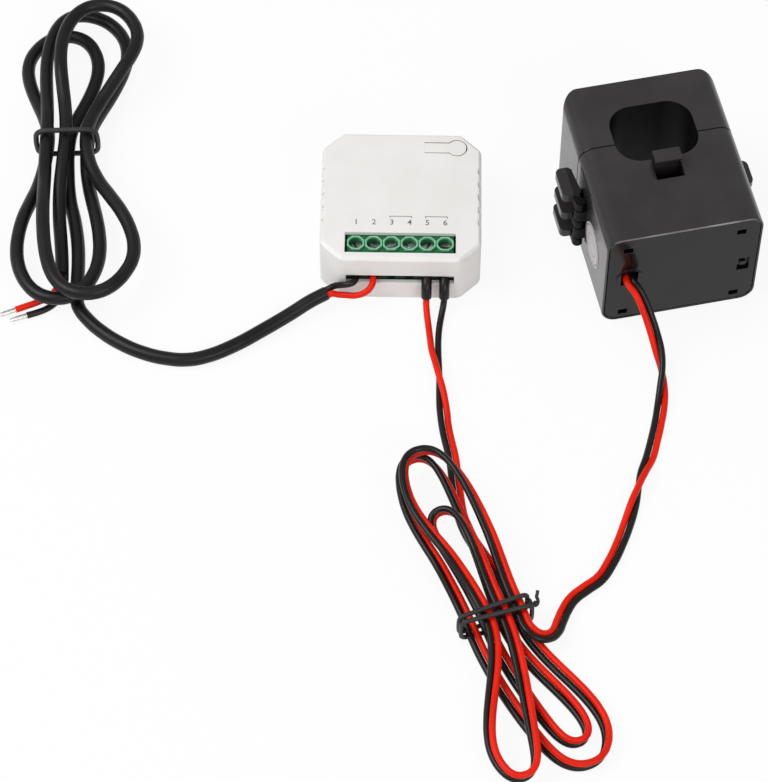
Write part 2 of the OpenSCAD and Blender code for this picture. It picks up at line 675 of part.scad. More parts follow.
module clamp_end_cap() {
    color("#454243") on_clamp() {
        difference() {
            union() {
                clamp_bar(cap_y, cap_y + cap_t, cap_lip + fit);
                translate([exit_at[0], 0, exit_at[1]]) rotate([-90, 22.5, 0])
                    cylinder(d = 8.2, h = cap_y + 0.5, $fn = 8);
            }
            for (x = [-1, 1]) for (z = [-1, 1]) {
                bar([2.6, cap_t + 2, 1.9], [x * (clamp_w / 2 - 6.2) - 1.3, -0.5,
                    clamp_h / 2 - 1.2 + z * (clamp_h / 2 - 4.4) - 0.95]);
            }
            bar([3.4, 1.3, 5.2], [clamp_w / 2 - 6.2, 0, clamp_h / 2 - 4.8]);
            bar([exit_size[0], cap_t + 3, exit_size[1]],
                [exit_at[0] - exit_size[0] / 2, -1, exit_at[1] - exit_size[1] / 2]);
        }
        bar([1.6, 0.9, 1.6], [clamp_w / 2 - 5.3, 0.6, clamp_h / 2 - 3]);
        for (x = [-6, 12]) translate([x, cap_y + cap_t, clamp_h / 2]) rotate([-90, 0, 0])
            cylinder(r = 1.4, h = cap_post);
    }
}

module clamp_jaw() {
    color("#3b3839") on_clamp() difference() {
        union() {
            intersection() {
                clamp_bar(split_y + split_gap, clamp_l, 0);
                linear_extrude(clamp_h) translate([0, clamp_l / 2]) rounded_box(clamp_w, clamp_l, 5);
            }
            for (i = [0, 1]) translate([0, 0, hinge_z[i] + hinge_rib / 2 + 0.3])
                linear_extrude(hinge_knuckle) {
                translate([hinge_x, hinge_y]) circle(1.9);
                polygon([[hinge_x - 1.9, hinge_y], [hinge_x + 1.9, hinge_y],
                    [hinge_x + 1.9, hinge_y + 2.4], [clamp_w / 2, split_y + 4],
                    [clamp_w / 2 - 0.6, split_y + 4], [clamp_w / 2 - 0.6, split_y + split_gap],
                    [hinge_x - 1.9, split_y + split_gap]]);
            }
            bar([tongue_t, 6.8, 13], [tongue_x, split_y - 5.3, ear_z - 6.5]);
        }
        conductor_window();
        leg_slots(split_y, top_yoke_y + yoke_t);
        bar([2 * (leg_x + leg_w + seat), yoke_t + 2 * seat, core_h + 2 * seat],
            [-leg_x - leg_w - seat, top_yoke_y - seat, core_z - seat]);
        bar([3, 2.7, 7.6], [tongue_x - 1, split_y - 4.3, ear_z - 3.8]);
        translate([hinge_x, hinge_y, 0]) cylinder(r = hinge_r + run_fit, h = clamp_h);
    }
}

module hinge_pin() {
    color("#a9abae") on_clamp() translate([hinge_x, hinge_y, hinge_z[0] - hinge_rib / 2])
        cylinder(r = hinge_r, h = 2 * hinge_pitch + hinge_rib - 0.9);
}

module latch_clip() {
    color("#3b3839") on_clamp() difference() {
        union() {
            for (z = rib_z) translate([0, 0, z - rib_t / 2]) linear_extrude(rib_t) {
                rib_outline();
            }
            bar([1.4, rib_l - 1.4, 2 * rib_pitch + rib_t],
                [-clamp_w / 2 - rib_gap - 1.4, split_y - rib_l + 2.5, rib_z[0] - rib_t / 2]);
            bar([nose_x + clamp_w / 2 + 1.8, 1.8, 6.6],
                [-clamp_w / 2 - 1.8, split_y - 3.5, ear_z - 3.3]);
        }
        translate([latch_x, latch_y, 0]) cylinder(r = latch_r + run_fit, h = pin_top);
    }
}

module latch_pin() {
    color("#a9abae") on_clamp() translate([latch_x, latch_y, rib_z[0] - rib_t / 2])
        cylinder(r = latch_r, h = 2 * rib_pitch + rib_t - 0.9);
}

module lower_core() {
    color("#4a4a4e") on_clamp() translate([0, 0, core_z]) linear_extrude(core_h) difference() {
        translate([-leg_x - leg_w, yoke_y]) square([2 * (leg_x + leg_w), split_y - 0.2 - yoke_y]);
        translate([-leg_x, yoke_y + yoke_t]) square([2 * leg_x, split_y]);
    }
}

module upper_core() {
    color("#4a4a4e") on_clamp() translate([0, 0, core_z]) linear_extrude(core_h) difference() {
        translate([-leg_x - leg_w, split_y + split_gap + 0.1])
            square([2 * (leg_x + leg_w), top_yoke_y + yoke_t - split_y - split_gap - 0.1]);
        translate([-leg_x, split_y]) square([2 * leg_x, top_yoke_y - split_y]);
    }
}

// wound former: a square tube with two flanges round the lower core's yoke
module bobbin() {
    color("#e2ddd0") on_clamp() translate([0, yoke_y + yoke_t / 2, clamp_h / 2]) rotate([0, 90, 0])
        difference() {
            union() {
                linear_extrude(bobbin_l, center = true) square([core_h + 2.4, yoke_t + 2.4], center = true);
                for (x = [-0.5, 0.5]) translate([0, 0, x * (bobbin_l - 1.2)])
                    linear_extrude(1.2, center = true) rounded_box(clamp_h - 5, yoke_t + 7, 1);
            }
            linear_extrude(bobbin_l + 5, center = true) square([core_h + 0.4, yoke_t + 0.4], center = true);
        }
}

module secondary_winding() {
    color("#a5602c") on_clamp() translate([0, yoke_y + yoke_t / 2, clamp_h / 2]) rotate([0, 90, 0])
        linear_extrude(bobbin_l - 3, center = true) difference() {
            rounded_box(core_h + 5.4, yoke_t + 5.4, 2);
            square([core_h + 2.5, yoke_t + 2.5], center = true);
        }
}

module clamp_board() {
    y = cap_y + cap_t + cap_post;
    color("#1f6b3f") on_clamp() bar([clamp_w - 19, 1.2, clamp_h - 13], [12.5 - clamp_w / 2, y, 6.5]);
    color("#2a2a2c") on_clamp() for (z = [-6, 2]) {
        bar([6.4, 0.6, 3.2], [-2, y + 1.2, clamp_h / 2 + z]);
    }
}

module case_label() {
    color("#cfcfca") on_clamp() translate([-clamp_w / 2, 14.3, ear_z - 0.3]) rotate([0, -90, 0])
        cylinder(r = 6.8, h = 0.12);
}

// cables

module mains_run() {
    color("#2a2829") tube(mains_route, cable_d, 10);
}

module mains_hank() {
    color("#2a2829") tube(mains_path, cable_d, 6);
}

module mains_red_core() {
    color("#d8261c") tube(red_core_route, wire_d, 8);
}

module mains_black_core() {
    color("#232122") tube(black_core_route, wire_d, 8);
}

module tail_red_core() {
    color("#d8261c") tube(tail_red_route, wire_d, 8);
}

module tail_black_core() {
    color("#232122") tube(tail_black_route, wire_d, 8);
}

module tinned_ends() {
    color("#c4c1ba") for (p = [tail_red_route, tail_black_route]) {
        n = len(p) - 1;
        tube([p[n], p[n] + 2.5 * along(p, n), p[n] + 5 * along(p, n)], pin_d, 8);
    }
}

module mains_band() {
    w = mains_waist + cable_d + 0.3;
    h = mains_layer + cable_d + 0.4;
    color("#1f1d1e") translate(mains_at + [0, 0, h / 2 + band_t + 0.05])
        rotate([90, 0, 0]) linear_extrude(2, center = true) difference() {
            rounded_box(w + 2 * band_t, h + 2 * band_t, 3.4);
            rounded_box(w, h, 1.8);
        }
}

module wire_sleeves() {
    color("#1d1c1d") for (i = [5, 6]) tube(sleeve_route(i), sleeve_d, 10);
}

module lead_red_run() {
    color("#d8261c") tube(lead_red_route, wire_d, 8);
}

module lead_black_run() {
    color("#232122") tube(lead_black_route, wire_d, 8);
}

module lead_red_hank() {
    color("#d8261c") tube(lead_red_path, wire_d, 6);
}

module lead_black_hank() {
    color("#232122") tube(lead_black_path, wire_d, 6);
}

module lead_red_end() {
    color("#d8261c") tube(pair_wire(lead_end_route, lead_end_twist, 1), wire_d, 8);
}

module lead_black_end() {
    color("#232122") tube(pair_wire(lead_end_route, lead_end_twist, -1), wire_d, 8);
}

// two turns of wire, joined by the knot at one end, with a short tail
module lead_tie() {
    w = 3 * 4.45 + 2 * wire_d + 1.2;
    h = lead_layer + wire_d + 0.5;
    knot = [w / 2 + tie_t / 2, 0, h + tie_t];
    color("#1d1c1d") translate(lead_at) rotate([0, 0, lead_turn]) {
        for (y = [-1, 1]) translate([0, 1.4 * y, h / 2 + tie_t]) rotate([90, 0, 0])
            linear_extrude(tie_t, center = true) difference() {
                rounded_box(w + 2 * tie_t, h + 2 * tie_t, 2.2);
                rounded_box(w, h, 1);
            }
        translate(knot - [0, 0, 1.6]) rotate([90, 0, 0]) cylinder(r = tie_t / 2, h = 3.2, center = true);
        translate(knot - [0, 0, 1.6]) rotate([0, 78, -50]) cylinder(r = 0.6, h = 3.6);
    }
}

top_cover();
base_cover();
main_pcb();
terminal_block();
terminal_screw_1();
terminal_screw_2();
terminal_screw_3();
terminal_screw_4();
terminal_screw_5();
terminal_screw_6();
clamp_cage_1();
clamp_cage_2();
clamp_cage_3();
clamp_cage_4();
clamp_cage_5();
clamp_cage_6();
terminal_contacts();
wire_pins();
pairing_button();
tact_switch();
switch_plunger();
wireless_module();
rf_shield();
metering_chip();
power_transformer();
electrolytic_capacitor();
varistor();
fuse_resistor();
x_capacitor();
clamp_case();
clamp_end_cap();
clamp_jaw();
hinge_pin();
latch_clip();
latch_pin();
lower_core();
upper_core();
bobbin();
secondary_winding();
clamp_board();
case_label();
mains_run();
mains_hank();
mains_red_core();
mains_black_core();
tail_red_core();
tail_black_core();
tinned_ends();
mains_band();
wire_sleeves();
lead_red_run();
lead_black_run();
lead_red_hank();
lead_black_hank();
lead_red_end();
lead_black_end();
lead_tie();
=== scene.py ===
import bpy
import bmesh
from math import cos, pi, radians, sin, sqrt
from mathutils import Matrix, Vector


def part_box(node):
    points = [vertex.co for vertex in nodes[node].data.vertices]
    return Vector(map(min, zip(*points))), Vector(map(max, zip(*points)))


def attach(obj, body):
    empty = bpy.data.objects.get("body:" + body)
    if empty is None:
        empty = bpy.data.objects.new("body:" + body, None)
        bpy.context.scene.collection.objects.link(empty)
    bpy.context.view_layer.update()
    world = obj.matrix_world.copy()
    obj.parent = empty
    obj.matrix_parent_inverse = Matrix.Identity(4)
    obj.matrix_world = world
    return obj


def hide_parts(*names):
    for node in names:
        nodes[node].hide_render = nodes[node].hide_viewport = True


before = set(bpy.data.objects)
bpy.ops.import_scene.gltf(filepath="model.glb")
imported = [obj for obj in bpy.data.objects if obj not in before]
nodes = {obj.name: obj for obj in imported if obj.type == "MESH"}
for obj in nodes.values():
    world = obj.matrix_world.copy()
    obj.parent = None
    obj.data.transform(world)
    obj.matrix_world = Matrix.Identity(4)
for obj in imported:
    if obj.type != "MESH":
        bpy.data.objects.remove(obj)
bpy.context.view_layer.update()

# Camera. It stands where the photograph was taken from, in front of the module and above it, about
# 0.9 m away. Its long lens keeps parallel edges nearly parallel.
lens = bpy.data.cameras.new("camera")
lens.lens = 148.54
lens.sensor_width = 36.0
camera = bpy.data.objects.new("camera", lens)
camera.location = (0.004622, -0.572402, 0.746016)
camera.rotation_euler = (Matrix.Rotation(0.01658, 3, "Z") @ Matrix.Rotation(0.60582, 3, "X")
                         @ Matrix.Rotation(0.00099, 3, "Z")).to_euler()
bpy.context.collection.objects.link(camera)
bpy.context.scene.camera = camera
bpy.context.scene.view_settings.view_transform = "Standard"


# Supply cable. A round cable with a black satin jacket, 4 mm thick. It leaves its cores in front of
# the terminals, lies along the floor and is folded into a hank of six strands with a bare far end.
class Shade:
    """A socket in a finish's node tree, which takes sums, products and new nodes."""

    def __init__(self, tree, socket):
        self.tree, self.socket = tree, socket

    def node(self, kind, settings, values, output=0):
        """Adds a node: its settings come first, then a value or a link for each socket."""
        made = self.tree.nodes.new("ShaderNode" + kind)
        for key, value in settings.items():
            setattr(made, key, value)
        for key, value in values.items():
            if isinstance(value, Shade):
                self.tree.links.new(value.socket, made.inputs[key])
            else:
                made.inputs[key].default_value = value
        return Shade(self.tree, made.outputs[output])

    def __add__(self, other):
        return self.node("Math", {"operation": "ADD"}, {0: self, 1: other})

    def __mul__(self, other):
        return self.node("Math", {"operation": "MULTIPLY"}, {0: self, 1: other})

    __radd__ = __add__
    __rmul__ = __mul__


def new_finish(name, **fixed):
    """A finish with its fixed shader values, its shader and its object coordinates."""
    made = bpy.data.materials.new(name)
    made.use_nodes = True
    shader = made.node_tree.nodes["Principled BSDF"]
    for key, value in fixed.items():
        shader.inputs[key.replace("_", " ")].default_value = value
    start = made.node_tree.nodes.new("ShaderNodeTexCoord")
    return made, shader, Shade(made.node_tree, start.outputs["Object"])


def feed(shader, **values):
    """Links what varies over the surface to the shader's own sockets."""
    for key, value in values.items():
        shader.id_data.links.new(value.socket, shader.inputs[key.replace("_", " ")])


def cloud(place, scale, detail):
    """Soft random blotches."""
    return place.node("TexNoise", {}, {"Vector": place, "Scale": scale, "Detail": detail})


def between(factor, first, second):
    """A colour that goes from the first to the second."""
    return factor.node("Mix", {"data_type": "RGBA"}, {0: factor, 6: first, 7: second}, 2)


def spread(value, low, high, to_low, to_high):
    """A value moved from one range to another and kept inside it."""
    return value.node("MapRange", {}, {"Value": value, "From Min": low, "From Max": high,
                                       "To Min": to_low, "To Max": to_high})


def raised(height, strength, depth):
    """The relief of a surface."""
    return height.node("Bump", {}, {"Height": height, "Strength": strength, "Distance": depth})


def plastic(name, dark, light, rough, grain, depth, **fixed):
    """Moulded plastic: two close tones, uneven gloss and the fine grain of the mould."""
    made, shader, place = new_finish(name, **fixed)
    broad, fine = cloud(place, 90.0, 4.0), cloud(place, grain, 3.0)
    feed(shader, Base_Color=between(spread(broad, 0.35, 0.65, 0.0, 1.0), dark, light),
         Roughness=spread(broad * 0.6 + fine * 0.4, 0.3, 0.7, rough - 0.06, rough + 0.06),
         Normal=raised(fine, 0.5, depth))
    return made


def ease(start, end, value):
    """Goes smoothly from nought to one between start and end."""
    k = min(1.0, max(0.0, (value - start) / (end - start)))
    return k * k * (3 - 2 * k)


def add_piece(name, data, body):
    """Puts a mesh or curve in the scene as a piece that moves with a body."""
    piece = bpy.data.objects.new(name, data)
    bpy.context.collection.objects.link(piece)
    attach(piece, body)
    return piece


def new_cord(name, diameter, finish, sides=4, steps=6):
    """A round cord of a diameter in millimetres, without a line yet."""
    curve = bpy.data.curves.new(name, "CURVE")
    curve.dimensions = "3D"
    curve.bevel_depth = diameter / 2000
    curve.bevel_resolution = sides
    curve.resolution_u = steps
    curve.use_fill_caps = True
    curve.materials.append(finish)
    return curve


def add_line(curve, points, closed=False):
    """One smooth line of a cord, through points in millimetres."""
    line = curve.splines.new("BEZIER")
    line.bezier_points.add(len(points) - 1)
    line.use_cyclic_u = closed
    for knot, point in zip(line.bezier_points, points):
        knot.co = Vector(point) * 0.001
        knot.handle_left_type = knot.handle_right_type = "AUTO"


def lay_cord(name, points, diameter, finish, closed=False):
    """A cord of one line, laid beside the module and the clamp."""
    curve = new_cord(name, diameter, finish)
    add_line(curve, points, closed)
    return add_piece(name, curve, "monitor")


def angles_to(end):
    """Angles from nought to an end, in the small steps of a hank's loops."""
    step = 7.5
    return [step * i for i in range(int(end / step) + 1)]


# middle, half width and reach of each loop, in millimetres
supply_back = [(-3.2, 12.7, 44.3), (3.8, 14.2, 50.6), (7.4, 13.4, 49)]
supply_front = [(1.2, 13.9, 57.5), (9.8, 15.1, 59)]
supply_rise = 450  # the angle at which the loops go up one layer
supply_layer = 4.6


def supply_loop(a):
    """The hank's loops: out in a spiral, up one layer and in again."""
    r = (supply_rise - abs(supply_rise - a)) / 360
    s, c = sin(radians(a)), cos(radians(a))
    turn = int(a // 360)
    middle, wide, reach = supply_back[turn] if s > 0 else supply_front[min(1, turn)]
    waist, y = 1.7 + 5.55 * r, reach * s
    k = ease(-90, 60, a - supply_rise)
    fan = ease(1, 0.84 * reach, abs(y))
    bow = 1 - (1 - abs(c)) ** (0.9 * sqrt(reach / wide))
    x = (1 if c > 0 else -1) * (waist + (wide - waist) * fan) * bow - 1.4 * (1 - 2 * k) * c * c
    back_lift = ease(6, 26, y) if turn == 2 else 0
    lift = supply_layer * (back_lift if s > 0 else ease(8, 32, -y))
    return Vector((x + middle * fan, y, 2 + supply_layer * ease(-25, 30, a - supply_rise) + lift))


black_jacket = plastic("black_jacket", (0.0055, 0.0048, 0.005, 1), (0.009, 0.0083, 0.0086, 1), 0.40,
                       1600.0, 0.00005, Specular_IOR_Level=0.29)
supply_run = [(-21, -25.5, 5), (-25.5, -27.9, 4.2), (-31, -31.5, 3), (-38.5, -36.6, 2.2),
              (-46.4, -42, 2), (-54.2, -46, 2), (-59.7, -47.3, 2), (-65.3, -47, 2),
              (-71.9, -45.3, 2), (-78.8, -42, 2), (-84.7, -37.8, 2), (-88.9, -33.6, 2)]
supply_in = [(7.3, -57.5, 2), (6.4, -54, 2), (6.2, -49, 2), (6, -42, 2), (5.4, -35, 2), (4, -27, 2),
             (1.8, -18, 2), (0.7, -9, 2)]
supply_out = [(-0.5, -9, 6.6), (-0.8, -18, 6.2), (-0.4, -27, 4.2), (0.3, -33, 2.6), (0.9, -38, 2),
              (1.3, -42, 2), (1.6, -46, 2)]
supply_place = Vector((-98.8, 27.7, 0))
waist_lift = 1.7  # the band under the hank lifts its waist
supply_hank = [Vector(p) for p in supply_in]
supply_hank += [supply_loop(a) for a in angles_to(2 * supply_rise)]
supply_hank += [Vector(p) for p in supply_out]
supply_hank = [p + supply_place + Vector((0, 0, waist_lift * (1 - ease(4, 20, abs(p.y)))))
               for p in supply_hank]
supply_cable = lay_cord("supply_cable", supply_run + supply_hank, 4.0, black_jacket)
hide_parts("mains_run", "mains_hank")


# Cores of the supply cable. One red and one black insulated wire, 1.9 mm thick, come out of the
# jacket at both ends. At the module they go into terminals one and two.
core_wide = 1.9
red_insulation = plastic("red_insulation", (0.68, 0.011, 0.001, 1), (0.82, 0.017, 0.002, 1), 0.38,
                         2200.0, 0.00003, Specular_IOR_Level=0.18)
black_insulation = plastic("black_insulation", (0.0055, 0.0035, 0.0035, 1), (0.009, 0.006, 0.006, 1),
                           0.32, 2200.0, 0.00003, Specular_IOR_Level=0.32)
near_red = [(-21.4, -26.7, 4.9), (-20.5, -26.3, 5), (-19.5, -25.8, 5.2), (-17.6, -25.7, 4.7),
            (-15.2, -26, 4.9), (-12.6, -26.6, 5.6), (-9.6, -26.3, 7), (-8, -24.9, 8.2),
            (-7.62, -23.2, 8.6), (-7.62, -21.6, 8.6), (-7.62, -20, 8.6)]
near_black = [(-22.3, -25, 4.9), (-21.5, -24.6, 5), (-20.4, -24.1, 5.2), (-18.7, -23.8, 6.2),
              (-17, -24.4, 7.5), (-15.2, -25, 8.6), (-13.5, -24.7, 9), (-12.7, -23.2, 8.6),
              (-12.7, -21.6, 8.6), (-12.7, -20, 8.6)]
far_red = [(-98.27, -17.2, 2), (-98.18, -18.37, 2), (-98.09, -19.57, 2), (-98.4, -21.6, 1.4),
           (-99.4, -23.8, 1), (-101.3, -25.8, 1), (-104, -27.4, 1), (-106.8, -28.7, 1),
           (-109.7, -30, 1)]
far_black = [(-96.31, -17, 2), (-96.22, -18.23, 2), (-96.13, -19.42, 2), (-96.3, -22.2, 1.4),
             (-97.2, -25.2, 1), (-98.8, -27.7, 1), (-101, -29.6, 1), (-103.5, -30.9, 1),
             (-106.3, -32, 1)]
for name, node, points, finish, slot in (
        ("supply_core_red", "mains_red_core", near_red, red_insulation, "red_jacket"),
        ("supply_core_black", "mains_black_core", near_black, black_insulation, "black_jacket"),
        ("tail_core_red", "tail_red_core", far_red, red_insulation, "red_jacket"),
        ("tail_core_black", "tail_black_core", far_black, black_insulation, "black_jacket")):
    piece = lay_cord(name, points, core_wide, finish)
    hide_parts(node)


# Tinned ends. Where the insulation is stripped, seven fine tinned strands are twisted together and
# drawn in a little towards the tip.
tinned, shader, place = new_finish("tinned_copper", Metallic=1.0)
worn = cloud(place, 900.0, 4.0)
feed(shader, Base_Color=between(spread(worn, 0.55, 0.75, 0.0, 1.0), (0.74, 0.73, 0.70, 1),
                                (0.72, 0.50, 0.34, 1)),
     Roughness=spread(worn, 0.3, 0.7, 0.22, 0.42), Normal=raised(worn, 0.4, 0.00004))
# a strand's thickness and distance from the middle, and its step and turn from point to point
strand_wide, strand_out, strand_step, strand_twist = 0.5, 0.46, 0.5, 0.42
strands = new_cord("tinned_strands", strand_wide, tinned, sides=2, steps=3)
for tail in (far_red, far_black):
    tip, along = Vector(tail[-1]), (Vector(tail[-1]) - Vector(tail[-2])).normalized()
    side = along.cross(Vector((0, 0, 1))).normalized()
    up = side.cross(along)
    for i in range(7):
        points = []
        for j in range(11):
            turn = i * pi / 3 + j * strand_twist
            out = 0.0 if i == 6 else strand_out - 0.012 * max(0, j - 6) ** 2
            ahead = j * strand_step - 0.1
            points.append(tip + along * ahead + out * (cos(turn) * side + sin(turn) * up))
        add_line(strands, points)
tinned_strands = add_piece("tinned_strands", strands, "monitor")
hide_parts("tinned_ends")


# Band. A black elastic ring goes round the waist of the supply cable's hank and draws its strands
# together.
def ring_round(half_w, half_h, corner):
    """Points round a rectangle with round corners, across the strands of a hank."""
    points, steps = [], 4
    for k, (sx, sz) in enumerate(((1, 1), (-1, 1), (-1, -1), (1, -1))):
        for i in range(steps + 1):
            a = pi / 2 * (k + i / steps)
            points.append(Vector((sx * (half_w - corner) + corner * cos(a), 0,
                                  sz * (half_h - corner) + corner * sin(a))))
    return points


band_rubber = plastic("band_rubber", (0.014, 0.013, 0.014, 1), (0.022, 0.021, 0.022, 1), 0.5,
                      1200.0, 0.00005)
band_ring = [p + supply_place + Vector((0, 0.05 * p.x, 6.15)) for p in ring_round(8.86, 5.31, 2.6)]
band = lay_cord("hank_band", band_ring, 1.6, band_rubber, closed=True)
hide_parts("mains_band")


# Clamp lead. Two loose wires, one red and one black, lie side by side from terminals five and six
# to the clamp. The pair turns once in each loop of its hank.
def heading(points, i):
    """The direction of a route at one of its points."""
    back = (points[i] - points[i - 1]).normalized() if i > 0 else Vector()
    ahead = (points[i + 1] - points[i]).normalized() if i < len(points) - 1 else Vector()
    return (back + ahead).normalized()


def pair_wire(points, turns, side):
    """One wire of the pair: beside the pair's middle, turned by an angle at each point."""
    half_apart = 0.96
    wire = []
    for i, point in enumerate(points):
        t = heading(points, i)
        n = Vector((-t.y, t.x, 0)).normalized()
        a = radians(turns[i])
        wire.append(point + side * half_apart * (cos(a) * n + sin(a) * t.cross(n)))
    return wire


# middle, half width and reach of each loop, in millimetres
lead_back = [(-4.2, 7, 54), (-4.2, 5.6, 34), (-3, 8.8, 53)]
lead_front = [(8.6, 10.6, 48), (8.5, 5.4, 41), (-9.6, 6.4, 48)]
lead_rise = 630  # the angle at which the loops go up one layer
lead_layer = 4.5


def lead_loop(a):
    """The hank's loops: in by a spiral, up one layer in a short fold and out again."""
    r = abs(lead_rise - a) / 360
    s, c = -sin(radians(a)), cos(radians(a))
    turn = min(2, int(a // 360))
    middle, wide, reach = lead_back[turn] if s > 0 else lead_front[turn]
    waist, y = 4.45 * r, reach * s
    k = ease(-90, 90, a - lead_rise)
    fan = ease(1, 42, abs(y))
    bow = 1 - (1 - abs(c)) ** (0.9 * sqrt(reach / wide))
    x = (1 if c > 0 else -1) * (waist + (wide - waist) * fan) * bow - 1.1 * (1 - 2 * k) * c * c
    lift = lead_layer * ease(4, 24, y) if s > 0 else 0
    return Vector((x + middle * fan, y, 2.0 + lead_layer * ease(-60, 60, a - lead_rise) + lift))


lead_in = [(9.4, 66, 1), (8.6, 62, 1), (7.4, 54, 1), (5, 44, 1), (3, 32, 1.2), (4.6, 20, 1.6),
           (6.8, 10, 2)]
lead_out = Vector((6.6, -4, 6.5))
lead_turn = Matrix.Rotation(radians(20), 3, "Z")
lead_place = Vector((26.9, -131.9, 0))
loop_angles = angles_to(3 * 360)
lead_hank = [Vector(p) for p in lead_in] + [lead_loop(a) for a in loop_angles] + [lead_out]
lead_hank = [lead_turn @ p + lead_place + Vector((0, 0, 0.35 * (1 - ease(4, 20, abs(p.y)))))
             for p in lead_hank]
hank_turns = [0] * len(lead_in) + loop_angles + [0]
lead_end = [lead_hank[-1], lead_hank[-1] + 1.2 * heading(lead_hank, len(lead_hank) - 1)]
lead_end += [Vector(p) for p in (
    (36.2, -136.6, 6.8), (38.7, -137.9, 5.8), (41.4, -137.1, 4.4), (43.3, -134.7, 3.1),
    (44.5, -131.2, 2.2), (45.8, -127.6, 1.6), (48, -123.6, 1.2), (51.6, -120.2, 1),
    (55.4, -117, 1), (58.4, -112, 1), (61, -106, 1), (63.4, -99, 1), (65.2, -93, 1.7),
    (66.6, -88, 2), (68, -83, 1.7), (70, -77.5, 1), (71.5, -71.5, 1), (72.8, -65.5, 1),
    (73.7, -60, 1.2), (74.2, -54.5, 2), (74.1, -49.5, 3.6), (73.2, -45, 6), (71.8, -41, 9),
    (70.2, -37.6, 12.2), (68.4, -34.6, 15.4), (66.6, -32.4, 17.8), (64.907, -30.506, 18.8),
    (64.367, -28.167, 18.8))]
# on its way to the clamp the pair makes two half turns, each over four points
end_turns = [45 * min(4, max(0, i - 13)) + 45 * min(4, max(0, i - 20)) for i in range(len(lead_end))]
red_run = [(7.62, -25.5, 6.4), (7.62, -26.2, 4.6), (7.6, -27, 3), (7.8, -29.6, 1.9),
           (8.3, -33.5, 1.2), (8.8, -38, 1.2), (9.3, -42.6, 2), (10.3, -47.2, 2.7),
           (11.4, -52, 3), (12.6, -56.8, 2.8), (13.5, -61.4, 1.7), (13.95, -64.4, 1)]
black_run = [(12.7, -25.5, 6.4), (12.7, -26.2, 4.6), (12.6, -27, 3), (12.1, -29.6, 1.6),
             (11.5, -33.5, 1), (11.2, -38, 1), (11.2, -42.6, 1), (11.4, -47.2, 1),
             (11.6, -52, 1), (11.6, -56.8, 1), (11.7, -61.4, 1), (11.95, -64.4, 1)]
lead_wires = []
for colour, run, side, finish in (("red", red_run, 1, red_insulation),
                                  ("black", black_run, -1, black_insulation)):
    points = [Vector(p) for p in run] + pair_wire(lead_hank, hank_turns, side)
    points += pair_wire(lead_end, end_turns, side)[1:]
    piece = lay_cord(f"lead_wire_{colour}", points, core_wide, finish)
    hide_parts(f"lead_{colour}_run", f"lead_{colour}_hank", f"lead_{colour}_end")
    lead_wires.append(piece)


# Sleeves. Two short pieces of black tubing, 3 mm thick, cover the clamp's wires where they go down
# out of the module's slot. Their lower ends are open.
def as_mesh(curve):
    """The mesh of a curve or of text, before it gets its place."""
    unplaced = bpy.data.objects.new("unplaced", curve)
    mesh = bpy.data.meshes.new_from_object(unplaced)
    bpy.data.objects.remove(unplaced)
    return mesh


sleeves = []
for number, x in ((5, 7.62), (6, 12.7)):
    tube = new_cord("sleeve_line", 3.0, black_insulation)
    tube.use_fill_caps = False
    add_line(tube, [(x, -20, 8.6), (x, -22.4, 8.6), (x, -24.2, 7.9), (x, -25.5, 6.4), (x, -26.2, 4.6)])
    piece = add_piece(f"wire_sleeve_{number}", as_mesh(tube), "monitor")
    wall = piece.modifiers.new("wall", "SOLIDIFY")
    wall.thickness, wall.offset = 0.0004, -1
    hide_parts("wire_sleeves")
    sleeves.append(piece)


# Wire tie. A black coated wire goes twice round the waist of the lead's hank. Its two ends are
# twisted together beside it and one stands up as a short tail.
def on_lead(p):
    """A point beside the waist of the lead's hank, placed in the scene."""
    return lead_turn @ p + lead_place + Vector((0, 0, 4.75))


ties = []
for name, side in (("wire_tie_back", 1), ("wire_tie_front", -1)):
    ring = [on_lead(p + Vector((0, side * (0.9 + 0.05 * (p.x + 9)), 0)))
            for p in ring_round(9.8, 4.08, 1.7)]
    piece = lay_cord(name, ring, 1.3, band_rubber, closed=True)
    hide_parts("lead_tie")
    ties.append(piece)
for name, phase, count in (("tie_end_long", 0.0, 13), ("tie_end_short", pi, 8)):
    points = []
    for i in range(count):
        a = phase + 0.95 * i
        middle = Vector((9.7 + 0.42 * i - 0.012 * i * i, 1.5 - 0.62 * i + 0.062 * i * i,
                         1.6 - 0.30 * i + 0.035 * i * i))
        points.append(on_lead(middle + 0.55 * Vector((0.6 * cos(a), 0.5 * sin(a), 0.7 * sin(a)))))
    piece = lay_cord(name, points, 0.95, band_rubber)
    ties.append(piece)
for wire, run, on_it in zip(lead_wires, (red_run, black_run), (sleeves[:1] + ties, sleeves[1:])):
    [x / 1000 for x in run[0]]


def dress(finish, *names):
    """Gives a finish to CAD solids that show as they are."""
    for name in names:
        for material_slot in nodes[name].material_slots:
            material_slot.material = finish


white_shell = plastic("white_shell", (0.800, 0.780, 0.762, 1), (0.835, 0.816, 0.800, 1), 0.46, 2600.0,
                      0.00004, Specular_IOR_Level=0.4)
dress(white_shell, "base_cover")


# Circuit board and its parts. Green solder mask over glass cloth, with moulded, dipped and canned
# parts soldered on top.
def metal(name, dark, light, rough, scale, depth=0.00003):
    """Plated metal with fine scratches and uneven gloss."""
    made, shader, place = new_finish(name, Metallic=1.0)
    fine, broad = cloud(place, scale, 5.0), cloud(place, 240.0, 3.0)
    feed(shader, Base_Color=between(spread(broad, 0.3, 0.7, 0.0, 1.0), dark, light),
         Roughness=spread(fine, 0.3, 0.7, rough - 0.08, rough + 0.10),
         Normal=raised(fine, 0.35, depth))
    return made


